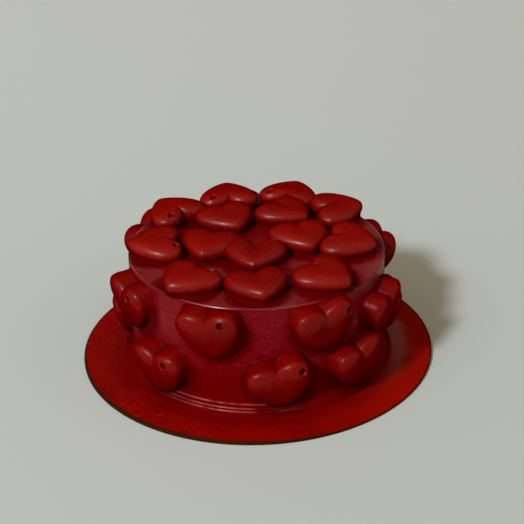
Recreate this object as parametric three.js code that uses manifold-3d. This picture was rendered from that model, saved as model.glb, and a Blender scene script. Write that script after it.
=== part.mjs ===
// A round model cake, painted red all over: a drum on a thin board, with puffed hearts
// on its top and in two staggered rows round its wall. Millimetres, +Z up. The origin is
// the middle of the board's underside, and -Y is the front.
import * as THREE from 'three';
import { mergeVertices } from 'three/addons/utils/BufferGeometryUtils.js';
import Module from 'manifold-3d';

const wasm = await Module();
wasm.setup();

// Between pieces that touch
const GAP = 0.3;
const MERGE_DISTANCE = 1e-4;

// Board
const BOARD_RADIUS = 60;
const BOARD_THICKNESS = 1.2;
const BOARD_BEVEL = 0.25;
const BOARD_OVAL = 0.5; // how much longer the board's radius is across its long diagonal
const BOARD_OVAL_AT = THREE.MathUtils.degToRad(45);
const BOARD_SEGMENTS = 80;

// Drum: a straight wall on a foot with two beads
const WALL_RADIUS = 42.9;
const DRUM_HEIGHT = 37.55; // from the board's upper face to the flat top
const RIM_RADIUS = 0.7;
const FOOT_RADIUS = 44.9;
const FOOT_HEIGHT = 3.2;
const BEAD_DEPTH = 0.45;
const BEAD_HEIGHT = 1;
const SHOULDER_HEIGHT = 6.8;
const SHOULDER_DEPTH = 0.6;
const DRUM_SEGMENTS = 72;

// Hearts
const HEART_WIDTH = 20.8;
const HEART_LENGTH = 17.6;
const HEART_THICKNESS = 7.6;
const HEART_SEGMENTS = 24;
const HEART_RINGS = 7;
const FACE_FULLNESS = 0.86; // less makes the face flatter
const PIVOT_RISE = 0.06; // where the rings meet, above the middle, as a share of the length
const OUTLINE_STEPS = 360;
const WALL_LEAN = 11; // degrees by which the tip leans into the wall
const NEIGHBOUR_REACH = 26;

// The hearts on the top are crisp, and the thicker paint on those of the wall has softened
// them. Waves give the outline its lobes, and a pinch is its exponent: more is sharper. Less
// fullness makes the side steeper. The face drops by a share of the height towards the tip,
// and the sink is how deep the lower face is set below the drum's surface.
const TOP_FORM = {
  waves: [13, -4.4, -1.7, -0.7],
  cleftPinch: 2.7,
  tipPinch: 1.35,
  lobeFullness: 0.62,
  tipFullness: 0.42,
  grooveWidth: 2.6,
  tipDrop: 0.12,
  sink: 1.3,
};
const WALL_FORM = {
  waves: [13, -3.7, -1.2, -0.6],
  cleftPinch: 2.2,
  tipPinch: 1.1,
  lobeFullness: 0.8,
  tipFullness: 0.55,
  grooveWidth: 3.4,
  tipDrop: 0.3,
  sink: 1.3,
};

// The small blind hole drilled in a heart's right lobe
const HOLE_RADIUS = 1.25;
const HOLE_DEPTH = 2.4;
const HOLE_SIDES = 8;
const NORMAL_STEP = 0.02; // between the points that a surface's slope is measured from
const HOLE_AT = { around: 60, up: 50 };
const SIDE_HOLE_AT = { around: 75, up: 42 };

const BOARD_TOP = BOARD_THICKNESS;
const DRUM_TOP = BOARD_TOP + DRUM_HEIGHT;

// Hearts on the top: the middle's place and lift, the tip's turn in degrees, counter-clockwise
// from the front, how far the tip and the left lobe are raised in degrees, and the groove's
// depth as a share of the height. The outer nine point outwards, and the inner five forwards.
const topHearts = [
  { x: 0.4, y: -32.6, lift: 0, turn: 11, tipUp: -2.3, leftUp: -0.5, groove: 0.17, hole: HOLE_AT },
  { x: 22.4, y: -27, lift: 0, turn: 52, tipUp: 4, leftUp: 0, groove: 0.12 },
  { x: 31.6, y: -3.4, lift: 0, turn: 67, tipUp: 1.5, leftUp: -4, groove: 0.1 },
  { x: 28.8, y: 21.9, lift: 0.2, turn: 104, tipUp: -0.7, leftUp: -2.6, groove: 0.15 },
  { x: 13.2, y: 34.9, lift: 0.3, turn: 160, tipUp: 4, leftUp: 0, groove: 0.12, hole: HOLE_AT },
  { x: -10.2, y: 34.4, lift: 0.1, turn: -174, tipUp: 2.6, leftUp: 0.3, groove: 0.12, hole: HOLE_AT },
  { x: -28.8, y: 22.4, lift: 0.3, turn: -140, tipUp: 0.4, leftUp: 1.1, groove: 0.06, hole: HOLE_AT },
  { x: -33.9, y: -3, lift: 0.2, turn: -82, tipUp: -1.2, leftUp: 4, groove: 0.05, hole: HOLE_AT },
  { x: -22.3, y: -28.5, lift: 0.3, turn: -40, tipUp: -1.4, leftUp: -0.8, groove: 0.06, hole: HOLE_AT },
  { x: -0.5, y: -12.1, lift: 0.1, turn: -4, tipUp: 0.5, leftUp: 1.3, groove: 0.34, hole: HOLE_AT },
  { x: 15.5, y: 0.6, lift: -0.1, turn: 21, tipUp: 1.9, leftUp: 2, groove: 0.15 },
  { x: 11.1, y: 19.4, lift: 0.2, turn: 47, tipUp: 0.9, leftUp: 1.9, groove: 0.12 },
  { x: -9.5, y: 15.8, lift: 0.1, turn: 26, tipUp: 1.1, leftUp: 0.4, groove: 0.12 },
  { x: -15.5, y: -4.4, lift: 0, turn: -16, tipUp: -0.3, leftUp: 1.4, groove: 0.12 },
];

// Hearts on the wall: degrees round from the front towards +X, the middle's height above
// the board, the turn of the tip from straight down, and the turn of the face towards +X.
// The upper row comes first.
const wallHearts = [
  { at: -65, height: 27.2, turn: 0, faceTurn: 6, groove: 0.28, hole: HOLE_AT },
  { at: -19.5, height: 28.5, turn: 6, faceTurn: 0, groove: 0.3, hole: HOLE_AT },
  { at: 27.3, height: 29.2, turn: 9, faceTurn: 0, groove: 0.3, hole: SIDE_HOLE_AT },
  { at: 64.5, height: 23, turn: 5, faceTurn: 0, groove: 0.3, hole: HOLE_AT },
  { at: 113, height: 26.5, turn: 0, faceTurn: 0, groove: 0.3, hole: HOLE_AT },
  { at: 178, height: 28, turn: 6, faceTurn: 0, groove: 0.3, hole: HOLE_AT },
  { at: -123, height: 28.5, turn: -12, faceTurn: 0, groove: 0.3, hole: HOLE_AT },
  { at: -99, height: 10.8, turn: 6, faceTurn: 0, groove: 0.3, hole: HOLE_AT },
  { at: -45, height: 9.6, turn: 0, faceTurn: 3, groove: 0.3, hole: HOLE_AT },
  { at: 8.6, height: 10.9, turn: 13, faceTurn: 0, groove: 0.36, hole: SIDE_HOLE_AT },
  { at: 45, height: 10.8, turn: 8, faceTurn: 0, groove: 0.3, hole: HOLE_AT },
  { at: 98, height: 10.8, turn: -5, faceTurn: 0, groove: 0.3, hole: HOLE_AT },
  { at: 148, height: 11, turn: 4, faceTurn: 0, groove: 0.3, hole: HOLE_AT },
  { at: -152, height: 10.6, turn: -8, faceTurn: 0, groove: 0.3, hole: HOLE_AT },
];

function toSolid(geometry) {
  geometry.deleteAttribute('normal');
  geometry.deleteAttribute('uv');
  const merged = mergeVertices(geometry, MERGE_DISTANCE);
  const vertProperties = new Float32Array(merged.attributes.position.array);
  const triVerts = new Uint32Array(merged.index.array);
  return new wasm.Manifold(new wasm.Mesh({ numProp: 3, vertProperties, triVerts }));
}

function toGeometry(solid) {
  const mesh = solid.getMesh();
  const geometry = new THREE.BufferGeometry();
  geometry.setAttribute('position', new THREE.BufferAttribute(mesh.vertProperties, 3));
  geometry.setIndex(new THREE.BufferAttribute(mesh.triVerts, 1));
  geometry.computeVertexNormals();
  return geometry;
}

// A lathe turns about Y, so the result is stood up to turn about Z
function turned(profile, segments) {
  const points = profile.map(([radius, height]) => new THREE.Vector2(radius, height));
  return new THREE.LatheGeometry(points, segments).rotateX(Math.PI / 2);
}

function boardGeometry() {
  const inner = BOARD_RADIUS - BOARD_BEVEL;
  const geometry = turned([
    [0, 0],
    [inner, 0],
    [BOARD_RADIUS, BOARD_BEVEL],
    [BOARD_RADIUS, BOARD_THICKNESS - BOARD_BEVEL],
    [inner, BOARD_THICKNESS],
    [0, BOARD_THICKNESS],
  ], BOARD_SEGMENTS);
  const position = geometry.attributes.position;
  for (let i = 0; i < position.count; i += 1) {
    const angle = Math.atan2(position.getY(i), position.getX(i));
    const grow = 1 + (BOARD_OVAL / BOARD_RADIUS) * Math.cos(2 * (angle - BOARD_OVAL_AT));
    position.setXY(i, position.getX(i) * grow, position.getY(i) * grow);
  }
  return geometry;
}

// The drum's outline from its seat to its top, grown outwards by "grow"
function drumProfile(grow) {
  const foot = FOOT_RADIUS + grow;
  const wall = WALL_RADIUS + grow;
  const top = DRUM_TOP + grow;
  const bead = BOARD_TOP + FOOT_HEIGHT;
  const shoulder = BOARD_TOP + SHOULDER_HEIGHT;
  return [
    [0, BOARD_TOP + GAP],
    [foot, BOARD_TOP + GAP],
    [foot, bead],
    [foot - BEAD_DEPTH, bead + BEAD_HEIGHT / 2],
    [foot - BEAD_DEPTH / 2, bead + BEAD_HEIGHT],
    [wall + SHOULDER_DEPTH, shoulder],
    [wall, shoulder + SHOULDER_DEPTH],
    [wall, top - RIM_RADIUS],
    [wall - RIM_RADIUS * 0.3, top - RIM_RADIUS * 0.3],
    [wall - RIM_RADIUS, top],
    [0, top],
  ];
}

// The heart's outline: "around" runs clockwise from the cleft, and the tip is at half a turn
function outlinePoint(around, form) {
  const { cleftPinch, tipPinch, waves } = form;
  const pinch = (cleftPinch + tipPinch) / 2 + ((cleftPinch - tipPinch) / 2) * Math.cos(around);
  const side = Math.sin(around);
  const x = Math.sign(side) * Math.abs(side) ** pinch;
  const y = waves.reduce((sum, wave, i) => sum + wave * Math.cos((i + 1) * around), 0);
  return { x, y };
}

function outlineBounds(form) {
  const heights = Array.from({ length: OUTLINE_STEPS }, (_, i) => (
    outlinePoint((i / OUTLINE_STEPS) * 2 * Math.PI, form).y
  ));
  return { low: Math.min(...heights), high: Math.max(...heights) };
}

TOP_FORM.bounds = outlineBounds(TOP_FORM);
WALL_FORM.bounds = outlineBounds(WALL_FORM);

// A point on a heart whose face is +Z and whose tip is -Y, all its sizes grown by "grow". Its
// back is plain, and its face drops towards the tip and has a groove that fades from the cleft.
function heartPoint(around, up, form, groove, grow = 0) {
  const outline = outlinePoint(around, form);
  const { low, high } = form.bounds;
  const tipness = ((1 - Math.cos(around)) / 2) ** 2;
  const fullness = form.lobeFullness + (form.tipFullness - form.lobeFullness) * tipness;
  const spread = Math.abs(Math.cos(up)) ** fullness;
  const pivot = HEART_LENGTH * PIVOT_RISE;
  const along = ((outline.y - (high + low) / 2) / (high - low)) * (HEART_LENGTH + 2 * grow);
  const x = outline.x * (HEART_WIDTH / 2 + grow) * spread;
  const y = pivot + (along - pivot) * spread;
  const rise = Math.sign(up) * Math.abs(Math.sin(up)) ** FACE_FULLNESS;
  let z = rise * (HEART_THICKNESS / 2 + grow);
  if (up > 0) {
    const towardCleft = THREE.MathUtils.clamp(y / HEART_LENGTH + 0.5, 0, 1);
    z *= 1 - groove * Math.exp(-((x / form.grooveWidth) ** 2)) * towardCleft;
    z *= 1 - form.tipDrop * (1 - towardCleft);
  }
  return new THREE.Vector3(x, y, z);
}

// A sphere's vertices moved onto the heart
function heartGeometry(form, groove, grow = 0) {
  const geometry = new THREE.SphereGeometry(1, HEART_SEGMENTS, HEART_RINGS).rotateX(Math.PI / 2);
  const position = geometry.attributes.position;
  const from = new THREE.Vector3();
  for (let i = 0; i < position.count; i += 1) {
    from.fromBufferAttribute(position, i);
    const around = Math.atan2(from.x, from.y);
    const up = Math.asin(THREE.MathUtils.clamp(from.z, -1, 1));
    const to = heartPoint(around, up, form, groove, grow);
    position.setXYZ(i, to.x, to.y, to.z);
  }
  return geometry;
}

// A short rod, standing in the heart's surface along its normal
function holeGeometry({ hole, groove }, form) {
  const around = THREE.MathUtils.degToRad(hole.around);
  const up = THREE.MathUtils.degToRad(hole.up);
  const centre = heartPoint(around, up, form, groove);
  const across = heartPoint(around + NORMAL_STEP, up, form, groove).sub(centre);
  const along = heartPoint(around, up + NORMAL_STEP, form, groove).sub(centre);
  const normal = along.cross(across).normalize();
  if (normal.z < 0) normal.negate();
  const rod = new THREE.CylinderGeometry(HOLE_RADIUS, HOLE_RADIUS, 2 * HOLE_DEPTH, HOLE_SIDES);
  const stand = new THREE.Quaternion().setFromUnitVectors(new THREE.Vector3(0, 1, 0), normal);
  return rod.applyQuaternion(stand).translate(centre.x, centre.y, centre.z);
}

function turnedAbout(axis, degrees) {
  const angle = THREE.MathUtils.degToRad(degrees);
  return new THREE.Matrix4().makeRotationAxis(axis, angle);
}

const ACROSS = new THREE.Vector3(1, 0, 0);
const ALONG = new THREE.Vector3(0, 1, 0);
const UP = new THREE.Vector3(0, 0, 1);

function topPlace(heart) {
  const height = DRUM_TOP + HEART_THICKNESS / 2 - TOP_FORM.sink + heart.lift;
  return new THREE.Matrix4().makeTranslation(heart.x, heart.y, height)
    .multiply(turnedAbout(UP, heart.turn))
    .multiply(turnedAbout(ACROSS, heart.tipUp))
    .multiply(turnedAbout(ALONG, heart.leftUp));
}

function wallPlace(heart) {
  const out = WALL_RADIUS + HEART_THICKNESS / 2 - WALL_FORM.sink;
  return turnedAbout(UP, heart.at)
    .multiply(new THREE.Matrix4().makeTranslation(0, -out, BOARD_TOP + heart.height))
    .multiply(turnedAbout(UP, heart.faceTurn))
    .multiply(turnedAbout(ACROSS, 90))
    .multiply(turnedAbout(UP, heart.turn))
    .multiply(turnedAbout(ACROSS, WALL_LEAN));
}

function heartMaterial() {
  return new THREE.MeshStandardMaterial({ color: 0x7a1208, roughness: 0.75, metalness: 0 });
}

function drumMaterial() {
  return new THREE.MeshStandardMaterial({ color: 0x7d0c1c, roughness: 0.4, metalness: 0 });
}

function boardMaterial() {
  return new THREE.MeshStandardMaterial({ color: 0x6e0c06, roughness: 0.6, metalness: 0 });
}

function named(name, geometry, material) {
  const mesh = new THREE.Mesh(geometry, material);
  mesh.name = name;
  return mesh;
}

// The room that the board takes, with its gap
function boardRoom() {
  const reach = 2 * BOARD_RADIUS;
  return new THREE.BoxGeometry(reach, reach, BOARD_THICKNESS + GAP)
    .translate(0, 0, (BOARD_THICKNESS + GAP) / 2);
}

const seat = toSolid(turned(drumProfile(GAP), DRUM_SEGMENTS)).add(toSolid(boardRoom()));
const placed = [];

// Each heart is cut back from the drum, the board and the hearts set before it
function heartMeshes(hearts, form, place, prefix) {
  return hearts.map((heart, i) => {
    const matrix = place(heart);
    const centre = new THREE.Vector3().setFromMatrixPosition(matrix);
    let solid = toSolid(heartGeometry(form, heart.groove).applyMatrix4(matrix)).subtract(seat);
    for (const other of placed) {
      if (other.centre.distanceTo(centre) < NEIGHBOUR_REACH) {
        solid = solid.subtract(other.swollen);
      }
    }
    if (heart.hole) {
      solid = solid.subtract(toSolid(holeGeometry(heart, form).applyMatrix4(matrix)));
    }
    const swollen = toSolid(heartGeometry(form, heart.groove, GAP).applyMatrix4(matrix));
    placed.push({ centre, swollen });
    const number = String(i + 1).padStart(2, '0');
    return named(`${prefix}_${number}`, toGeometry(solid), heartMaterial());
  });
}

const group = new THREE.Group();
group.add(named('board', boardGeometry(), boardMaterial()));
group.add(named('drum', turned(drumProfile(0), DRUM_SEGMENTS), drumMaterial()));
group.add(...heartMeshes(topHearts, TOP_FORM, topPlace, 'top_heart'));
group.add(...heartMeshes(wallHearts, WALL_FORM, wallPlace, 'wall_heart'));

export default group;
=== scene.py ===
# A round model cake, painted red all over, with puffed hearts on its top and round its wall.
# Metres, +Z up. The origin is the middle of the board's underside, and -Y is the front.
import math

import bpy
import numpy as np
from mathutils import Matrix, Vector, noise


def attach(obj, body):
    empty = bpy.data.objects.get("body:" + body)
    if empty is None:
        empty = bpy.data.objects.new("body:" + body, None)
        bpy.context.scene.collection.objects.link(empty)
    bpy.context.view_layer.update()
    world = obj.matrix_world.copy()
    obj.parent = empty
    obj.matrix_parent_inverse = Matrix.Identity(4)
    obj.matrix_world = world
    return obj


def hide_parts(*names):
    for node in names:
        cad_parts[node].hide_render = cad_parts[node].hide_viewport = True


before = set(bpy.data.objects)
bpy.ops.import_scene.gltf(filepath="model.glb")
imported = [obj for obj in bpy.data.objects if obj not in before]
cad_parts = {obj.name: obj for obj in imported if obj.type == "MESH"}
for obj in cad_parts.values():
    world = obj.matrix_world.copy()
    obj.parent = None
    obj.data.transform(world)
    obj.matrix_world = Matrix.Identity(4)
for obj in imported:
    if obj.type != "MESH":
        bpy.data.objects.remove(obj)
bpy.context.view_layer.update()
MM = 0.001

# The room: a pale table top that runs back into a pale wall, lit by a small cool lamp at the
# left of the camera, a weaker and broader one beside it, and the room's own warm light. The
# camera stands in front and looks down.
FRAME_PIXELS = 524
FOCAL_PIXELS = 1400
SENSOR_WIDTH = 36
BOARD_THICKNESS = 1.2 * MM
CAMERA_DISTANCE = 487.4 * MM
CAMERA_RISE = math.radians(30.81)
CAMERA_TURN = math.radians(0.249)
CAMERA_LIFT = math.radians(3.302)
CAMERA_ROLL = math.radians(-1.0)
TABLE_WIDTH = 4.0
TABLE_FRONT = 2.2
TABLE_BACK = 0.9
WALL_HEIGHT = 0.24
SWEEP_RADIUS = 0.2
SWEEP_STEPS = 16
TABLE_PALE = (0.575, 0.575, 0.555, 1)
TABLE_PALER = (0.70, 0.70, 0.685, 1)
LAMP_DISTANCE = 3.0
LAMP_COLOR = (0.82, 0.95, 1.0)
KEY_LAMP = {"around": -38, "rise": 40, "width": 0.44, "power": 67}
SIDE_LAMP = {"around": -54, "rise": 38, "width": 1.0, "power": 7}
ROOM_FRONT = (0.46, 0.41, 0.31, 1)
ROOM_BACK = (0.11, 0.09, 0.05, 1)


class Wire:
    """A value in a material's node tree. Sums and products of wires add Math nodes, and
    add() places any other node: its type, its settings, and its sockets' values or wires."""

    def __init__(self, tree, socket=None):
        self.tree = tree
        self.socket = socket

    def add(self, kind, settings=None, sockets=None, output=0):
        node = self.tree.nodes.new(kind)
        for name, value in (settings or {}).items():
            if name == "stops":
                self.set_stops(node.color_ramp, value)
            else:
                setattr(node, name, value)
        for name, value in (sockets or {}).items():
            if isinstance(value, Wire):
                self.tree.links.new(value.socket, node.inputs[name])
            else:
                node.inputs[name].default_value = value
        return Wire(self.tree, node.outputs[output])

    @staticmethod
    def set_stops(ramp, stops):
        while len(ramp.elements) < len(stops):
            ramp.elements.new(1.0)
        for element, (position, color) in zip(ramp.elements, stops):
            element.position = position
            element.color = color

    def math(self, operation, first, second, clamp=False):
        settings = {"operation": operation, "use_clamp": clamp}
        return self.add("ShaderNodeMath", settings, {0: first, 1: second})

    def __add__(self, other):
        return self.math("ADD", self, other)

    __radd__ = __add__

    def __sub__(self, other):
        return self.math("SUBTRACT", self, other)

    def __rsub__(self, other):
        return self.math("SUBTRACT", other, self)

    def __mul__(self, other):
        return self.math("MULTIPLY", self, other)

    __rmul__ = __mul__

    def __pow__(self, other):
        return self.math("POWER", self, other)

    def clamped(self):
        return self.math("ADD", self, 0.0, clamp=True)

    def place(self):
        return self.add("ShaderNodeTexCoord", output="Object")

    def grain(self, scale, detail=2.0, roughness=0.5, at=None):
        sockets = {"Scale": scale, "Detail": detail, "Roughness": roughness}
        return self.add("ShaderNodeTexNoise", None, sockets | {"Vector": at or self.place()})

    def stretched(self, x, y, z):
        return self.add("ShaderNodeMapping", None, {"Vector": self.place(), "Scale": (x, y, z)})

    def ramp(self, low, high, first=0.0, last=1.0):
        sockets = {"Value": self, "From Min": low, "From Max": high, "To Min": first, "To Max": last}
        return self.add("ShaderNodeMapRange", {"interpolation_type": "SMOOTHSTEP"}, sockets)

    def blend(self, first, second):
        """The first colour where this wire is 0, and the second where it is 1."""
        sockets = {"Factor": self, "A": first, "B": second}
        return self.add("ShaderNodeMix", {"data_type": "RGBA"}, sockets, "Result")


def new_material(name):
    material = bpy.data.materials.new(name)
    material.use_nodes = True
    return material, Wire(material.node_tree)


def set_shader(material, constants, wires):
    shader = material.node_tree.nodes["Principled BSDF"]
    for name, value in constants.items():
        shader.inputs[name].default_value = value
    for name, wire in wires.items():
        material.node_tree.links.new(wire.socket, shader.inputs[name])


def new_object(name, points, faces, material, smooth=True):
    mesh = bpy.data.meshes.new(name)
    mesh.from_pydata([tuple(point) for point in points], [], faces)
    mesh.polygons.foreach_set("use_smooth", [smooth] * len(mesh.polygons))
    mesh.materials.append(material)
    mesh.update()
    piece = bpy.data.objects.new(name, mesh)
    bpy.context.scene.collection.objects.link(piece)
    return piece


def camera_axes():
    rise = CAMERA_LIFT - CAMERA_RISE
    ahead = Vector((
        math.sin(CAMERA_TURN) * math.cos(rise),
        math.cos(CAMERA_TURN) * math.cos(rise),
        math.sin(rise),
    ))
    right = ahead.cross(Vector((0, 0, 1))).normalized()
    up = right.cross(ahead)
    turn = math.cos(CAMERA_ROLL), math.sin(CAMERA_ROLL)
    return right * turn[0] + up * turn[1], up * turn[0] - right * turn[1], -ahead


def place_camera():
    data = bpy.data.cameras.new("camera")
    data.sensor_width = SENSOR_WIDTH
    data.lens = FOCAL_PIXELS / FRAME_PIXELS * SENSOR_WIDTH
    data.clip_start = 0.01
    camera = bpy.data.objects.new("camera", data)
    right, up, back = camera_axes()
    turn = Matrix((right, up, back)).transposed().to_4x4()
    level = CAMERA_DISTANCE * math.cos(CAMERA_RISE)
    height = CAMERA_DISTANCE * math.sin(CAMERA_RISE) + BOARD_THICKNESS
    camera.matrix_world = Matrix.Translation((0, -level, height)) @ turn
    bpy.context.scene.collection.objects.link(camera)
    bpy.context.scene.camera = camera


def table_material():
    material, wire = new_material("pale_table")
    away = wire.add("ShaderNodeSeparateXYZ", None, {"Vector": wire.place()}, output="Y")
    # Paler towards the back and up the wall: painted light that brightens the backdrop there.
    color = away.ramp(-0.3, 0.5).blend(TABLE_PALE, TABLE_PALER)
    set_shader(material, {"Roughness": 0.6, "Specular IOR Level": 0.3}, {"Base Color": color})
    return material


def table_sweep():
    corner = TABLE_BACK - SWEEP_RADIUS
    profile = [(-TABLE_FRONT, 0.0)]
    for step in range(SWEEP_STEPS + 1):
        angle = step / SWEEP_STEPS * math.pi / 2
        depth = corner + SWEEP_RADIUS * math.sin(angle)
        profile.append((depth, SWEEP_RADIUS * (1 - math.cos(angle))))
    profile.append((TABLE_BACK, WALL_HEIGHT))
    half = TABLE_WIDTH / 2
    points = [(side, depth, height) for depth, height in profile for side in (-half, half)]
    faces = [(2 * i, 2 * i + 1, 2 * i + 3, 2 * i + 2) for i in range(len(profile) - 1)]
    return new_object("table", points, faces, table_material())


def place_lamp(around, rise, width, power):
    data = bpy.data.lights.new("lamp", "AREA")
    data.shape = "DISK"
    data.size = width
    data.energy = power
    data.color = LAMP_COLOR
    lamp = bpy.data.objects.new("lamp", data)
    around, rise = math.radians(around), math.radians(rise)
    toward = Vector((
        math.sin(around) * math.cos(rise),
        -math.cos(around) * math.cos(rise),
        math.sin(rise),
    ))
    lamp.location = toward * LAMP_DISTANCE
    lamp.rotation_euler = (-toward).to_track_quat("-Z", "Y").to_euler()
    bpy.context.scene.collection.objects.link(lamp)


def light_room():
    """Warm light from all round, weaker behind the cake than in front of it."""
    world = bpy.data.worlds.new("room")
    world.use_nodes = True
    wire = Wire(world.node_tree)
    way = wire.add("ShaderNodeTexCoord", output="Generated")
    behind = wire.add("ShaderNodeSeparateXYZ", None, {"Vector": way}, output="Y")
    color = behind.ramp(-0.1, 0.7).blend(ROOM_FRONT, ROOM_BACK)
    background = world.node_tree.nodes["Background"]
    world.node_tree.links.new(color.socket, background.inputs["Color"])
    bpy.context.scene.world = world
    bpy.context.scene.view_settings.view_transform = "Standard"


place_camera()
table_sweep()
place_lamp(**KEY_LAMP)
place_lamp(**SIDE_LAMP)
light_room()

# The board: a thin round card, cut a little out of round, that carries the cake. The paint
# covers its face, dull at the outside and glossy where it pooled, and leaves its edge brown.
BOARD_RADIUS = 60 * MM
BOARD_BEVEL = 0.25 * MM
BOARD_OVAL = 0.5 * MM
BOARD_OVAL_AT = math.radians(45)
BOARD_SIDES = 256
GLOSS_RADIUS = 49 * MM
DEEP_RED = (0.15, 0.0003, 0.0001, 1)
BRIGHT_RED = (0.32, 0.0016, 0.0004, 1)
BOARD_SHEEN = (1.0, 0.70, 0.50, 1)
EDGE_BROWN = (0.045, 0.008, 0.001, 1)
SHEEN_PINK = (0.34, 0.03, 0.02, 1)
ORANGE_RED = (0.42, 0.009, 0.0012, 1)
FULL_GRAIN = 0.8


def lathe(profile, sides):
    """The points and faces of a closed turning, from a profile that starts and ends on the axis."""
    points = [(0, 0, profile[0][1])]
    rows = profile[1:-1]
    for radius, height in rows:
        for side in range(sides):
            angle = side / sides * 2 * math.pi
            points.append((radius * math.cos(angle), radius * math.sin(angle), height))
    points.append((0, 0, profile[-1][1]))
    last = len(points) - 1
    faces = []
    for side in range(sides):
        after = (side + 1) % sides
        faces.append((0, 1 + after, 1 + side))
        for row in range(len(rows) - 1):
            start = 1 + row * sides
            faces.append((start + side, start + after, start + sides + after, start + sides + side))
        faces.append((last - sides + side, last - sides + after, last))
    return points, faces


def board_profile():
    """Rings close together near the edge and the pooled paint, from below to above."""
    inner = BOARD_RADIUS - BOARD_BEVEL
    bend = [math.radians(angle) for angle in (0, 30, 60, 90)]
    low = [
        (inner + BOARD_BEVEL * math.sin(angle), BOARD_BEVEL * (1 - math.cos(angle)))
        for angle in bend
    ]
    high = [(radius, BOARD_THICKNESS - height) for radius, height in reversed(low)]
    rings = [(BOARD_RADIUS * share, BOARD_THICKNESS) for share in (0.96, 0.9, 0.84, 0.78, 0.6, 0.3)]
    return [(0, 0), (BOARD_RADIUS * 0.5, 0)] + low + high + rings + [(0, BOARD_THICKNESS)]


def board_points(points):
    """A little out of round, as card cut by hand is."""
    for x, y, z in points:
        angle = math.atan2(y, x)
        grow = 1 + BOARD_OVAL / BOARD_RADIUS * math.cos(2 * (angle - BOARD_OVAL_AT))
        yield x * grow, y * grow, z


def distance_from_axis(wire):
    across = wire.add("ShaderNodeSeparateXYZ", None, {"Vector": wire.place()}, output="X")
    along = wire.add("ShaderNodeSeparateXYZ", None, {"Vector": wire.place()}, output="Y")
    return (across * across + along * along) ** 0.5


def dull_red(wire, grain=FULL_GRAIN):
    """Sprayed paint: deep red, with fine brighter specks, as strong as grain says, over broad
    clouds."""
    cloud = wire.grain(60.0, 3.0).ramp(0.35, 0.68)
    speck = wire.grain(1300.0, 3.0, 0.75).ramp(0.36, 0.66)
    bright = speck * grain + cloud * 0.3 + (FULL_GRAIN - grain) * 0.5
    return bright.clamped().blend(DEEP_RED, BRIGHT_RED)


def dull_edges(wire, turned, color):
    """Lets the shine fade where the surface turns away, as it does on powdery paint."""
    tree = wire.tree
    shiny = Wire(tree, tree.nodes["Principled BSDF"].outputs["BSDF"])
    powdery = {"Base Color": color, "Roughness": 1.0, "Specular IOR Level": 0.0}
    dull = wire.add("ShaderNodeBsdfPrincipled", None, powdery)
    mixed = wire.add("ShaderNodeMixShader", None, {0: turned, 1: shiny, 2: dull})
    tree.links.new(mixed.socket, tree.nodes["Material Output"].inputs["Surface"])


def board_material():
    material, wire = new_material("board_paint")
    reach = distance_from_axis(wire)
    ragged = reach + (wire.grain(140.0, 3.0) - 0.5) * (5 * MM)
    pooled = 1.0 - ragged.ramp(GLOSS_RADIUS, GLOSS_RADIUS + 5 * MM)
    edge = reach.ramp(BOARD_RADIUS - 0.9 * MM, BOARD_RADIUS - 0.3 * MM)
    # Pink specks towards the left of the board: a painted sheen of the room's light.
    pink_sheen = wire.grain(700.0, 2.0, 0.6).ramp(0.62, 0.72)
    across = wire.add("ShaderNodeSeparateXYZ", None, {"Vector": wire.place()}, output="X")
    rough_left = across.ramp(-50 * MM, 10 * MM, 1.0, 0.15)
    painted = (1.0 - rough_left).blend(dull_red(wire), dull_red(wire, 0.3))
    # Deeper red where the paint pooled by the drum: partly the pooled paint's tone, partly painted
    # shade at the drum's foot.
    painted = (pooled * 0.6).blend(painted, DEEP_RED)
    # Lighter and more orange towards the right: painted light that lifts the drum's shadow on the
    # board.
    painted = (across.ramp(15 * MM, 62 * MM) * 0.5).blend(painted, ORANGE_RED)
    color = edge.blend((pink_sheen * rough_left * 0.6).blend(painted, SHEEN_PINK), EDGE_BROWN)
    speck = wire.grain(1800.0, 2.0, 0.6)
    roughness = 0.62 - pooled * 0.32 + (speck - 0.5) * 0.2
    bump = wire.add("ShaderNodeBump", None, {
        "Height": speck * (1.0 - pooled) + wire.grain(220.0, 2.0) * pooled,
        "Strength": 0.6,
        "Distance": 0.12 * MM,
    })
    constants = {
        "Specular IOR Level": 0.025,
        "Specular Tint": BOARD_SHEEN,
        "Coat Roughness": 0.35,
    }
    set_shader(material, constants, {
        "Base Color": color,
        "Roughness": roughness,
        "Coat Weight": pooled * across.ramp(34 * MM, 46 * MM) * 0.9,
        "Normal": bump,
    })
    dull_edges(wire, (1.0 - pooled) * across.ramp(-20 * MM, 30 * MM) * 0.7, color)
    return material


def make_board():
    points, faces = lathe(board_profile(), BOARD_SIDES)
    board = new_object("painted_board", list(board_points(points)), faces, board_material())
    board.data.set_sharp_from_angle(angle=math.radians(50))
    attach(board, "root")
    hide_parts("board")


make_board()

# The drum: the cake's body, a straight wall on a foot with three ridges, like an upturned tub.
# Its paint is thick and glossy, crimson, brushed round, and runs out onto the board. Low down
# and round each heart it is a plainer red, so the places of the hearts stand here too. Its
# colour carries painted light as well: the pink up the wall and on the top is partly painted
# sheen, the darker red beside each heart is painted shadow, and the pale lines on the rim and
# ridges are painted highlights.
WALL_RADIUS = 42.9 * MM
DRUM_TOP = BOARD_THICKNESS + 37.55 * MM
RIM_RADIUS = 0.7 * MM
RIM_LIP = 0.06 * MM
FOOT_RADIUS = 44.9 * MM
FOOT_HEIGHT = 6.4 * MM
FOOT_STEPS = 64
WALL_STEPS = 34
RIM_BENDS = (15, 30, 45, 60, 75, 90)
RIDGES = (1.15 * MM, 1.95 * MM, 3.1 * MM)
RIDGE_WIDTH = 0.2 * MM
RIDGE_DEPTH = 0.26 * MM
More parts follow.
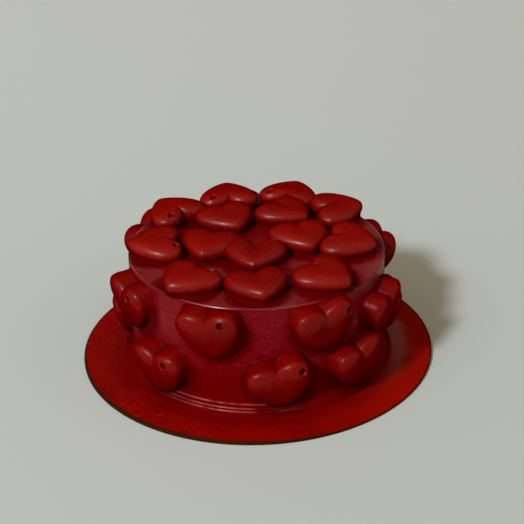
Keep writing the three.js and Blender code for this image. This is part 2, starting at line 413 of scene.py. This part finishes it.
# Where the painted highlight on the ridges and the rim is brightest, and how far round it reaches,
# in degrees from the front
HIGHLIGHT_AT = -17
RIDGES_REACH = 24
RIM_REACH = 42
PAINT_TOE = 1.2 * MM
TOE_CURVE = 2.2
PAINT_WAVE = 0.12 * MM
PAINT_WAVE_SIZE = 7 * MM
SET_IN = 0.1 * MM
DRUM_SIDES = 288
CRIMSON = (0.135, 0.0002, 0.001, 1)
PINK_CRIMSON = (0.23, 0.0008, 0.006, 1)
CRIMSON_SHEEN = (1.0, 0.04, 0.14, 1)
LOW_RED = (0.135, 0.0002, 0.0002, 1)
LIGHT_LOW_RED = (0.155, 0.0004, 0.0004, 1)
SHADOW_RED = (0.05, 0.0002, 0.0002, 1)
SCRATCH_PINK = (0.42, 0.04, 0.07, 1)
# A painted highlight: a pale pink line along the rim and the foot's ridges.
HIGHLIGHT_PINK = (0.40, 0.06, 0.07, 1)
TOP_PINK = (0.26, 0.035, 0.035, 1)
HEART_WIDTH = 20.8 * MM
HEART_LENGTH = 17.6 * MM
# How far from a heart's middle its plain red and painted shadow end, and over how far they
# fade, in half hearts
TOP_HALO = (1.22, 0.3)
WALL_HALO = (1.4, 0.4)
# Where a hole is drilled, in degrees round from the cleft and up the face from its widest line
FACE_HOLE = (60, 50)
SIDE_HOLE = (75, 42)
HIGH_HOLE = (70, 62)
# The hearts on the top, in millimetres and degrees: middle across and along, lift, turn of the
# tip, how far the tip and the left lobe are raised, the groove's depth as a share, and the hole
# if there is one. The first nine stand round the edge and point outwards.
TOP_HEARTS = (
    (0.4, -32.6, 0, 11, -2.3, -0.5, 0.24, FACE_HOLE),
    (22.4, -27, 0, 52, 4, 0, 0.12, None),
    (31.6, -3.4, 0, 67, 1.5, -4, 0.1, None),
    (28.8, 21.9, 0.2, 104, -0.7, -2.6, 0.15, None),
    (12.7, 34.9, 0.3, 160, 4, 0, 0.12, FACE_HOLE),
    (-9.8, 34.4, 0.1, -174, 2.6, 0.3, 0.12, FACE_HOLE),
    (-28.8, 22.4, 0.3, -140, 0.4, 1.1, 0.06, FACE_HOLE),
    (-33.9, -3, 0.2, -82, -1.2, 4, 0.05, FACE_HOLE),
    (-22.3, -28.5, 0.3, -40, -1.4, -0.8, 0.06, HIGH_HOLE),
    (-0.5, -12.1, 0.1, -4, 0.5, 1.3, 0.46, FACE_HOLE),
    (15.5, 0.6, -0.1, 21, 1.9, 2, 0.15, None),
    (11.1, 19.4, 0.2, 47, 0.9, 1.9, 0.12, None),
    (-9.5, 15.8, 0.1, 26, 1.1, 0.4, 0.12, None),
    (-15.5, -4.4, 0, -16, -0.3, 1.4, 0.12, None),
)
# The hearts on the wall: degrees round from the front, the middle's height above the board,
# turn of the tip, turn of the face, the groove's depth, and the hole. The upper row is first.
WALL_HEARTS = (
    (-65, 27.2, 0, 6, 0.14, FACE_HOLE),
    (-19.5, 28.5, 6, 0, 0.2, FACE_HOLE),
    (27.3, 29.2, 9, 0, 0.2, SIDE_HOLE),
    (64.5, 23, 5, 0, 0.1, FACE_HOLE),
    (113, 26.5, 0, 0, 0.3, FACE_HOLE),
    (178, 28, 6, 0, 0.3, FACE_HOLE),
    (-123, 28.5, -12, 0, 0.3, FACE_HOLE),
    (-99, 10.8, 6, 0, 0.3, FACE_HOLE),
    (-45, 9.6, 0, 3, 0.2, FACE_HOLE),
    (8.6, 10.9, 13, 0, 0.36, SIDE_HOLE),
    (45, 10.8, 8, 0, 0.15, None),
    (98, 10.8, -5, 0, 0.3, FACE_HOLE),
    (148, 11, 4, 0, 0.3, FACE_HOLE),
    (-152, 10.6, -8, 0, 0.3, FACE_HOLE),
)


def wall_rings():
    """The wall from the toe of paint on the board up to the rim, as radius and height, without
    the ridges."""
    slope = []
    for step in range(FOOT_STEPS + 1):
        share = step / FOOT_STEPS
        height = FOOT_HEIGHT * share
        out = (FOOT_RADIUS + PAINT_TOE - WALL_RADIUS) * (1 - share) ** TOE_CURVE
        slope.append((WALL_RADIUS + out, BOARD_THICKNESS + height))
    rim = DRUM_TOP - RIM_RADIUS
    low = BOARD_THICKNESS + FOOT_HEIGHT + 0.8 * MM
    wall = [(WALL_RADIUS, low + (rim - low) * step / WALL_STEPS) for step in range(WALL_STEPS + 1)]
    return slope + wall


def drum_profile():
    """From the axis below, out under the wall, up it, round the rim and back to the axis."""
    low = BOARD_THICKNESS - SET_IN
    below = [(0, low), (FOOT_RADIUS + PAINT_TOE, low)]
    centre = WALL_RADIUS - RIM_RADIUS
    rim = []
    for angle in (math.radians(bend) for bend in RIM_BENDS):
        height = DRUM_TOP + (RIM_RADIUS + RIM_LIP) * math.sin(angle) - RIM_RADIUS
        rim.append((centre + RIM_RADIUS * math.cos(angle), height))
    lip = [(centre - 0.6 * MM, DRUM_TOP + 0.5 * RIM_LIP), (centre - 1.3 * MM, DRUM_TOP)]
    shares = (0.92, 0.85, 0.75, 0.65, 0.55, 0.45, 0.35, 0.22, 0.1)
    top = [(WALL_RADIUS * share, DRUM_TOP) for share in shares]
    return below + wall_rings() + rim + lip + top + [(0, DRUM_TOP)]


def toward_highlight(point, reach):
    """How strong the painted highlight on the ridges and the rim is: most in front, a little to
    the left, where the lamp's highlight falls.
    """
    around = math.degrees(math.atan2(point[0], -point[1]))
    return math.exp(-((around - HIGHLIGHT_AT) / reach) ** 2)


def with_ridges(point):
    x, y, z = point
    reach = math.hypot(x, y)
    if reach < WALL_RADIUS or z > BOARD_THICKNESS + FOOT_HEIGHT:
        return point
    height = z - BOARD_THICKNESS
    ridge = sum(math.exp(-((height - at) / RIDGE_WIDTH) ** 2) for at in RIDGES)
    grow = 1 + RIDGE_DEPTH * ridge * toward_highlight(point, RIDGES_REACH) / reach
    return x * grow, y * grow, z


def hand_made(point):
    """The point moved in or out a little, as uneven paint is."""
    place = Vector(point)
    out = Vector((place.x, place.y, 0))
    if out.length < 1e-6:
        return place
    wave = noise.noise(place / PAINT_WAVE_SIZE)
    return place + out.normalized() * PAINT_WAVE * wave


def raised_paint(wire):
    """1 where the paint is the drum's crimson, whose pink is partly a painted sheen, and 0 low
    down and near the wall's hearts.
    """
    height = wire.add("ShaderNodeSeparateXYZ", None, {"Vector": wire.place()}, output="Z")
    ragged = height + (wire.grain(50.0, 2.0) - 0.5) * (9 * MM)
    halo = wire.add("ShaderNodeAttribute", {"attribute_name": "halo"}, output="Fac")
    return (ragged.ramp(10 * MM, 22 * MM) - halo * 0.9).clamped()


def glossy_crimson(wire):
    """Brushed paint: crimson with lighter streaks and scratches round the drum, and a deeper
    and plainer red low down and near the hearts, darkest in a painted shadow beside each heart."""
    streak = wire.grain(60.0, 3.0, 0.6, at=wire.stretched(1, 1, 14)).ramp(0.35, 0.75)
    speck = wire.grain(1200.0, 3.0, 0.75).ramp(0.36, 0.66)
    scratch = wire.grain(380.0, 3.0, 0.7, at=wire.stretched(1, 1, 7)).ramp(0.56, 0.70)
    raised = raised_paint(wire)
    upper = (streak * 0.4 + speck * 0.6).clamped().blend(CRIMSON, PINK_CRIMSON)
    halo = wire.add("ShaderNodeAttribute", {"attribute_name": "halo"}, output="Fac")
    # Beside the hearts the low red darkens into a painted shadow.
    low = (halo * 0.6).blend(speck.blend(LOW_RED, LIGHT_LOW_RED), SHADOW_RED)
    return (scratch * 0.45 * raised).blend(raised.blend(low, upper), SCRATCH_PINK)


def crimson_bump(wire):
    streak = wire.grain(120.0, 2.0, at=wire.stretched(1, 1, 10))
    fine = wire.grain(700.0, 2.0, at=wire.stretched(1, 1, 4))
    return streak * 0.5 + wire.grain(260.0, 3.0) * 0.8 + fine * 0.35


def drum_material():
    material, wire = new_material("drum_paint")
    bump = wire.add("ShaderNodeBump", None, {
        "Height": crimson_bump(wire),
        "Strength": 0.4,
        "Distance": 0.15 * MM,
    })
    constants = {
        "Specular IOR Level": 0.26,
        "Specular Tint": CRIMSON_SHEEN,
        "Coat Roughness": 0.24,
    }
    edge = wire.add("ShaderNodeAttribute", {"attribute_name": "edge"}, output="Fac")
    broken = wire.grain(110.0, 2.0).ramp(0.36, 0.56)
    height = wire.add("ShaderNodeSeparateXYZ", None, {"Vector": wire.place()}, output="Z")
    on_top = height.ramp(DRUM_TOP - 0.3 * MM, DRUM_TOP - 0.05 * MM)
    rim_share = height.ramp(DRUM_TOP - 2 * MM, DRUM_TOP - 1 * MM, 0.6, 0.14)
    raised = raised_paint(wire)
    halo = wire.add("ShaderNodeAttribute", {"attribute_name": "halo"}, output="Fac")
    pools = wire.grain(45.0, 3.0).ramp(0.35, 0.65)
    # Pink patches on the top between the hearts: painted sheen.
    pink_sheen = (pools * on_top - halo).clamped() * 0.7
    color = pink_sheen.blend((edge * broken * rim_share).blend(glossy_crimson(wire), HIGHLIGHT_PINK), TOP_PINK)
    set_shader(material, constants, {
        "Base Color": color,
        "Roughness": 0.76 - raised * 0.34 + (wire.grain(90.0, 3.0) - 0.5) * 0.3,
        "Coat Weight": pools * raised * 0.1 + pools * on_top * 0.35 + edge * broken,
        "Normal": bump,
    })
    dull_edges(wire, (1.0 - raised) * (1.0 - edge) * (1.0 - on_top) * 0.85, color)
    return material


def glossy_edge(point):
    """How shiny the rim and the foot's ridges are, and how much painted highlight they carry."""
    reach = math.hypot(point[0], point[1])
    rise = point[2] - DRUM_TOP + RIM_RADIUS
    on_rim = rise > 0.4 * RIM_RADIUS and reach > WALL_RADIUS - 0.6 * RIM_RADIUS
    height = point[2] - BOARD_THICKNESS
    if reach > WALL_RADIUS and any(abs(height - at) < 1.2 * RIDGE_WIDTH for at in RIDGES):
        return toward_highlight(point, RIDGES_REACH)
    return 0.15 + 0.85 * toward_highlight(point, RIM_REACH) if on_rim else 0.0


def red_and_shadow_halo(point):
    """How far the paint is the hearts' plain red and their painted shadow: near a heart, on the
    top or on the wall.
    """
    if point[2] > DRUM_TOP - RIM_RADIUS:
        away = [math.hypot(point[0] - x * MM, point[1] - y * MM) for x, y, *_ in TOP_HEARTS]
        end, fade = TOP_HALO
        return min(1.0, max(0.0, (end - min(away) / (HEART_WIDTH / 2)) / fade))
    around = math.degrees(math.atan2(point[0], -point[1]))
    nearest = math.inf
    for at, height, *_ in WALL_HEARTS:
        turn = (around - at + 180) % 360 - 180
        across = math.radians(turn) * WALL_RADIUS / (HEART_WIDTH / 2)
        along = (point[2] - BOARD_THICKNESS - height * MM) / (HEART_LENGTH / 2)
        # Each heart's halo is centred a little right of and below it, where its shadow falls.
        nearest = min(nearest, math.hypot(across - 0.1, along + 0.14))
    end, fade = WALL_HALO
    halo = min(1.0, max(0.0, (end - nearest) / fade))
    return halo * halo * (3 - 2 * halo)


def make_drum():
    points, faces = lathe(drum_profile(), DRUM_SIDES)
    shaped = [hand_made(with_ridges(point)) for point in points]
    edge = [glossy_edge(point) for point in points]
    halo = [red_and_shadow_halo(point) for point in points]
    drum = new_object("painted_drum", shaped, faces, drum_material())
    drum.data.attributes.new("edge", "FLOAT", "POINT").data.foreach_set("value", edge)
    drum.data.attributes.new("halo", "FLOAT", "POINT").data.foreach_set("value", halo)
    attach(drum, "root")
    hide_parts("drum")


make_drum()

# The hearts: puffed plastic beads of two domed lobes, each set into the paint while it was
# wet, so that a soft fillet of paint rises to its side. Many have a small drilled hole in the
# right lobe.
HEART_THICKNESS = 7.6 * MM
PIVOT_RISE = 0.06
FACE_FULLNESS = 0.86
WALL_LEAN = math.radians(11)
HEART_SINK = 1.3 * MM
# The outline's waves and pinches, how full the face is, the groove's width, how far the tip's
# face drops, the neck's width, how much painted shade lies at the tip, beside the cleft and on
# the face, and how much wider the fillet is at the tip
TOP_FORM = {
    "waves": (13, -4.4, -1.7, -0.7),
    "cleft_pinch": 2.7,
    "tip_pinch": 1.35,
    "lobe_fullness": 0.62,
    "tip_fullness": 0.42,
    "groove_width": 2.6 * MM,
    "tip_drop": 0.12,
    "neck_spread": 0.95,
    "tip_shade": 0.0,
    "cleft_shade": 1.0,
    "face_shade": 0.04,
    "tip_fillet": 0.0,
}
WALL_FORM = {
    "waves": (13, -3.7, -1.2, -0.6),
    "cleft_pinch": 2.2,
    "tip_pinch": 1.1,
    "lobe_fullness": 0.8,
    "tip_fullness": 0.55,
    "groove_width": 3.0 * MM,
    "tip_drop": 0.3,
    "neck_spread": 1.0,
    "tip_shade": 0.7,
    "cleft_shade": 0.4,
    "face_shade": 0.28,
    "tip_fillet": 0.25 * MM,
}
HEART_SIDES = 112
FACE_ROWS = 24
NECK_ROWS = 5
NECK_SHARE = 0.62
NECK_CURVE = 1.6
SIDE_SHADE_ARC = math.radians(35)
SIDE_SHADE = 0.4
FILLET_ROWS = 7
FILLET_REACH = 0.7 * MM
FILLET_WAVE = 0.6
FILLET_WAVE_SIZE = 4 * MM
FILLET_SINK = 0.15 * MM
HOLE_RADIUS = 1.2 * MM
HOLE_DEPTH = 2.2 * MM
HOLE_SIDES = 32
HOLE_LIP = 0.12 * MM
HOLE_LIP_WIDTH = 0.5 * MM
SHADE_RED = (0.075, 0.0002, 0.0002, 1)
HEART_SHEEN = (1.0, 0.95, 0.85, 1)


def outline_point(around, form):
    """The outline in units of its own waves: around runs clockwise from the cleft."""
    cleft, tip = form["cleft_pinch"], form["tip_pinch"]
    pinch = (cleft + tip) / 2 + (cleft - tip) / 2 * np.cos(around)
    side = np.sin(around)
    across = np.sign(side) * np.abs(side) ** pinch
    along = sum(wave * np.cos((i + 1) * around) for i, wave in enumerate(form["waves"]))
    return across, along


def heart_ring(around, spread, height, form):
    """One ring of a heart whose face is +Z and whose tip is -Y."""
    across, along = outline_point(around, form)
    whole = outline_point(np.linspace(0, 2 * math.pi, 361), form)[1]
    x = across * HEART_WIDTH / 2
    y = (along - (whole.max() + whole.min()) / 2) / (whole.max() - whole.min()) * HEART_LENGTH
    pivot = HEART_LENGTH * PIVOT_RISE
    full = np.zeros_like(x) + height
    return np.stack([x * spread, pivot + (y - pivot) * spread, full], axis=-1)


def face_ring(around, up, form, groove_depth):
    """A ring of the puffed face, up degrees of arc above the heart's widest line. The edge is
    fuller at the tip, and a groove runs down the middle from the cleft, ever shallower. A deep
    one reaches further."""
    lobe, tip = form["lobe_fullness"], form["tip_fullness"]
    fullness = lobe + (tip - lobe) * ((1 - np.cos(around)) / 2) ** 2
    height = math.sin(up) ** FACE_FULLNESS * HEART_THICKNESS / 2
    points = heart_ring(around, np.cos(up) ** fullness, height, form)
    toward_cleft = np.clip(points[..., 1] / HEART_LENGTH + 0.5, 0, 1)
    length = toward_cleft ** (1 - groove_depth)
    groove = groove_depth * np.exp(-(points[..., 0] / form["groove_width"]) ** 2) * length
    points[..., 2] *= (1 - groove) * (1 - form["tip_drop"] * (1 - toward_cleft))
    return points


def onto_drum(points):
    """The nearest places on the drum: its top, its rounded rim or its wall."""
    reach = np.hypot(points[:, 0], points[:, 1])
    out = points[:, :2] / np.maximum(reach, 1e-9)[:, None]
    centre = np.array([WALL_RADIUS - RIM_RADIUS, DRUM_TOP - RIM_RADIUS])
    beyond = np.stack([reach, points[:, 2]], axis=-1) - centre
    corner = (beyond > 0).all(axis=1)
    on_top = ~corner & (beyond[:, 1] >= beyond[:, 0])
    length = np.maximum(np.linalg.norm(beyond, axis=1), 1e-9)
    rings = np.array(wall_rings())
    wall = np.interp(points[:, 2], rings[:, 1], rings[:, 0])
    radius = np.where(on_top, reach, wall)
    height = np.where(on_top, DRUM_TOP, np.maximum(points[:, 2], BOARD_THICKNESS))
    radius[corner] = (centre[0] + beyond[:, 0] / length * RIM_RADIUS)[corner]
    height[corner] = (centre[1] + beyond[:, 1] / length * RIM_RADIUS)[corner]
    return np.concatenate([out * radius[:, None], height[:, None]], axis=1)


def moved(points, matrix):
    array = np.array(matrix)
    return points @ array[:3, :3].T + array[:3, 3]


def heart_rows(matrix, form, groove_depth):
    """Rings in the world from the face's middle out to the toe of the fillet. Each comes with
    how much painted shade it carries, and how far it is paint of the drum instead of the heart."""
    around = np.linspace(0, 2 * math.pi, HEART_SIDES, endpoint=False)
    seat_depth = HEART_THICKNESS / 2 - HEART_SINK
    toward_cleft = np.clip(heart_ring(around, 1, 0, form)[:, 1] / HEART_LENGTH + 0.5, 0, 1)
    side_shade = 1 - toward_cleft * (1 - form["cleft_shade"])
    rows = []
    for row in range(1, FACE_ROWS + 1):
        up = math.pi / 2 * (1 - row / FACE_ROWS)
        ring = face_ring(around, up, form, groove_depth)
        low = max(0.0, 1 - up / SIDE_SHADE_ARC) ** 2 * SIDE_SHADE
        tipward = np.clip(0.5 - ring[:, 1] / HEART_LENGTH, 0, 1)
        shade = low * side_shade + (1 - low) * form["tip_shade"] * tipward
        shade = form["face_shade"] + (1 - form["face_shade"]) * shade
        rows.append((moved(ring, matrix), shade, 0.0))
    neck_height = -seat_depth * NECK_SHARE
    neck_shade = np.maximum(side_shade, form["tip_shade"] * (1 - toward_cleft))
    for row in range(1, NECK_ROWS + 1):
        share = row / NECK_ROWS
        spread = 1 - (1 - form["neck_spread"]) * share ** NECK_CURVE
        ring = heart_ring(around, spread, neck_height * share, form)
        rows.append((moved(ring, matrix), rows[-1][1] + (neck_shade - rows[-1][1]) * 0.35, 0.0))
    neck = rows[-1][0]
    foot = heart_ring(around, form["neck_spread"], -seat_depth, form)
    under = onto_drum(moved(foot, matrix))
    wave = np.array([noise.noise(Vector(point) / FILLET_WAVE_SIZE) for point in under])
    wide = FILLET_REACH + form["tip_fillet"] * (1 - toward_cleft)
    reach = 1 + wide * (1 + FILLET_WAVE * wave) / (HEART_WIDTH / 2)
    foot = heart_ring(around, form["neck_spread"] * reach, -seat_depth, form)
    far = onto_drum(moved(foot, matrix))
    toe = far + (far - under) * 0.5
    toe[:, 2] = np.maximum(toe[:, 2], BOARD_THICKNESS)
    for row in range(1, FILLET_ROWS + 1):
        share = row / FILLET_ROWS
        bend = (1 - share) ** 2 * neck + 2 * share * (1 - share) * under + share ** 2 * far
        rows.append((bend, neck_shade * (1 - share ** 2), share))
    middle = moved(np.zeros((1, 3)), matrix)
    inwards = onto_drum(middle)[0] - middle[0]
    inwards /= np.linalg.norm(inwards)
    rows.append((toe + inwards * FILLET_SINK, neck_shade * 0, 1.0))
    pole = moved(face_ring(np.zeros(1), math.pi / 2, form, groove_depth), matrix)[0]
    floor = rows[-1][0].mean(axis=0) + inwards * 1 * MM
    return rows, pole, floor


def raised_lip(points, centre):
    """How far each point is lifted near the hole, where the paint stood round it."""
    away = np.linalg.norm(points - centre, axis=1)
    return HOLE_LIP * np.exp(-((away - HOLE_RADIUS * 1.25) / HOLE_LIP_WIDTH) ** 2)


def hole_place(hole, form, groove_depth, matrix):
    """The middle of the hole's mouth, and the way out of it."""
    around, up = (math.radians(angle) for angle in hole)
    step = 0.02
    centre = face_ring(np.float64(around), up, form, groove_depth)
    across = face_ring(np.float64(around + step), up, form, groove_depth) - centre
    along = face_ring(np.float64(around), up + step, form, groove_depth) - centre
    normal = np.cross(along, across)
    normal /= np.linalg.norm(normal) * math.copysign(1, normal[2])
    turn = np.array(matrix)[:3, :3]
    return moved(centre[None], matrix)[0], turn @ normal


def drill(heart, centre, normal):
    """A blind hole with a soft mouth, cut out of the heart."""
    points, faces = lathe((
        (0, -HOLE_DEPTH),
        (HOLE_RADIUS * 0.6, -HOLE_DEPTH * 0.95),
        (HOLE_RADIUS * 0.88, -HOLE_DEPTH * 0.75),
        (HOLE_RADIUS * 0.92, -0.5 * MM),
        (HOLE_RADIUS, -0.2 * MM),
        (HOLE_RADIUS * 1.25, 0.15 * MM),
        (HOLE_RADIUS * 1.9, 0.8 * MM),
        (0, 0.8 * MM),
    ), HOLE_SIDES)
    stand = Vector(normal).to_track_quat("Z", "Y").to_matrix().to_4x4()
    place = Matrix.Translation(centre) @ stand
    placed = [place @ Vector(point) for point in points]
    bit = new_object("drill", placed, faces, heart.data.materials[0])
    cut = heart.modifiers.new("hole", "BOOLEAN")
    cut.operation = "DIFFERENCE"
    cut.object = bit
    cut.solver = "EXACT"
    bpy.context.view_layer.update()
    shape = heart.evaluated_get(bpy.context.evaluated_depsgraph_get())
    mesh = bpy.data.meshes.new_from_object(shape)
    heart.modifiers.clear()
    heart.data = mesh
    bpy.data.objects.remove(bit)
    heart.data.set_sharp_from_angle(angle=math.radians(55))


def heart_piece(name, matrix, form, groove_depth, hole, material):
    """One heart with its fillet, closed under the drum's skin, and drilled if it has a hole."""
    rows, pole, floor = heart_rows(matrix, form, groove_depth)
    points = np.concatenate([[pole]] + [row for row, _, _ in rows] + [[floor]])
    dark = np.concatenate([[rows[0][1].mean()]] + [shade for _, shade, _ in rows] + [[0.0]])
    coat = [0.0] + [paint for _, _, paint in rows for _ in range(HEART_SIDES)] + [1.0]
    last = len(points) - 1
    faces = []
    for side in range(HEART_SIDES):
        after = (side + 1) % HEART_SIDES
        faces.append((0, 1 + after, 1 + side))
        for row in range(len(rows) - 1):
            start = 1 + row * HEART_SIDES
            below = start + HEART_SIDES
            faces.append((start + side, start + after, below + after, below + side))
        faces.append((last - HEART_SIDES + side, last - HEART_SIDES + after, last))
    if hole:
        centre, normal = hole_place(hole, form, groove_depth, matrix)
        points = points + raised_lip(points, centre)[:, None] * normal
    heart = new_object(name, points, faces, material)
    heart.data.attributes.new("dark", "FLOAT", "POINT").data.foreach_set("value", dark)
    heart.data.attributes.new("coat", "FLOAT", "POINT").data.foreach_set("value", coat)
    # The fillet carries the drum's plain red near hearts and its painted shadow.
    halo = [1.0] * len(points)
    heart.data.attributes.new("halo", "FLOAT", "POINT").data.foreach_set("value", halo)
    if hole:
        drill(heart, centre, normal)
    return heart


def heart_material():
    """Dull, faintly velvety red on the bead, with painted shade down its side, towards the tip
    and where the surface turns from the camera, and turning into the drum's glossier red down
    the fillet."""
    material, wire = new_material("heart_paint")
    coat = wire.add("ShaderNodeAttribute", {"attribute_name": "coat"}, output="Fac")
    wet = (coat + (wire.grain(400.0, 2.0) - 0.5) * 0.3).ramp(0.15, 0.95)
    dark = wire.add("ShaderNodeAttribute", {"attribute_name": "dark"}, output="Fac")
    facing = wire.add("ShaderNodeLayerWeight", None, {"Blend": 0.5}, output="Facing")
    turned = facing.ramp(0.45, 0.95)
    combed = wire.stretched(1, 0.3, 0.3)
    nap = wire.grain(1500.0, 3.0, 0.7, at=combed)
    # Painted shade: darker down the sides, at the tip and where the surface turns from the camera.
    shade = (dark * 0.85 + turned * 0.4 + (nap - 0.5) * 0.4).clamped()
    color = wet.blend(shade.blend(dull_red(wire, 0.7), SHADE_RED), glossy_crimson(wire))
    speck = wire.grain(1300.0, 3.0, 0.75)
    bump = wire.add("ShaderNodeBump", None, {
        "Height": (speck + nap) * 0.7 * (1.0 - wet) + crimson_bump(wire) * wet,
        "Strength": 0.4,
        "Distance": 0.12 * MM,
    })
    constants = {
        "Specular IOR Level": 0.3,
        "Specular Tint": HEART_SHEEN,
    }
    set_shader(material, constants, {
        "Base Color": color,
        "Roughness": 0.35 + turned * 0.4 + (speck - 0.5) * 0.4,
        "Normal": bump,
    })
    edges = facing.ramp(0.25, 0.65, 0.0, 0.9)
    dull_edges(wire, (edges + wet * 0.7 + dark * 1.5).clamped(), color)
    return material


def top_place(x, y, lift, turn, tip_up, left_up):
    height = DRUM_TOP + HEART_THICKNESS / 2 - HEART_SINK + lift * MM
    return (
        Matrix.Translation((x * MM, y * MM, height))
        @ Matrix.Rotation(math.radians(turn), 4, "Z")
        @ Matrix.Rotation(math.radians(tip_up), 4, "X")
        @ Matrix.Rotation(math.radians(left_up), 4, "Y")
    )


def wall_place(at, height, turn, face_turn):
    out = WALL_RADIUS + HEART_THICKNESS / 2 - HEART_SINK
    return (
        Matrix.Rotation(math.radians(at), 4, "Z")
        @ Matrix.Translation((0, -out, BOARD_THICKNESS + height * MM))
        @ Matrix.Rotation(math.radians(face_turn), 4, "Z")
        @ Matrix.Rotation(math.pi / 2, 4, "X")
        @ Matrix.Rotation(math.radians(turn), 4, "Z")
        @ Matrix.Rotation(WALL_LEAN, 4, "X")
    )


def set_hearts(hearts, place, form, prefix, material):
    for i, (*stance, groove_depth, hole) in enumerate(hearts, 1):
        node = f"{prefix}_{i:02d}"
        heart = heart_piece(f"painted_{node}", place(*stance), form, groove_depth, hole, material)
        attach(heart, "root")
        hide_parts(node)


paint = heart_material()
set_hearts(TOP_HEARTS, top_place, TOP_FORM, "top_heart", paint)
set_hearts(WALL_HEARTS, wall_place, WALL_FORM, "wall_heart", paint)
